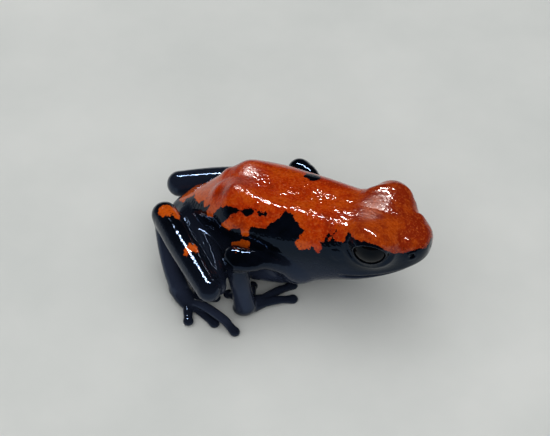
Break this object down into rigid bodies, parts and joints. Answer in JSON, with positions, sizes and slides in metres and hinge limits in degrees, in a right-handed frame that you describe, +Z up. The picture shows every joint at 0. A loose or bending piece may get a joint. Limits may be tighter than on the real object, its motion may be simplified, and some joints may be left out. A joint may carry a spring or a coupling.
{
  "type": "splash-backed poison frog",
  "caption": "Small smooth frog sitting low on folded legs with its head raised, orange-red above with a ragged edge over black sides and limbs.",
  "frame": {"origin": "on the floor, under the middle of the frog's box", "axes": "+X from the vent towards the snout, +Y towards the frog's left side, +Z up"},
  "size_m": [0.0378, 0.029, 0.0149],
  "materials": {
    "back_skin": "smooth wet skin, orange-red",
    "limb_skin": "smooth wet skin, blue-black",
    "eye": "clear wet cornea over a black eye"
  },
  "bodies": {
    "root": {"head": "back_skin", "torso": "back_skin", "eye_left": "eye", "eye_right": "eye", "upper_arm_left": "limb_skin", "upper_arm_right": "limb_skin", "forearm_left": "limb_skin", "forearm_right": "limb_skin", "hand_left": "limb_skin", "hand_right": "limb_skin", "thigh_left": "limb_skin", "thigh_right": "limb_skin", "shank_left": "limb_skin", "shank_right": "limb_skin", "tarsus_left": "limb_skin", "tarsus_right": "limb_skin", "foot_left": "limb_skin", "foot_right": "limb_skin"}
  },
  "joints": []
}
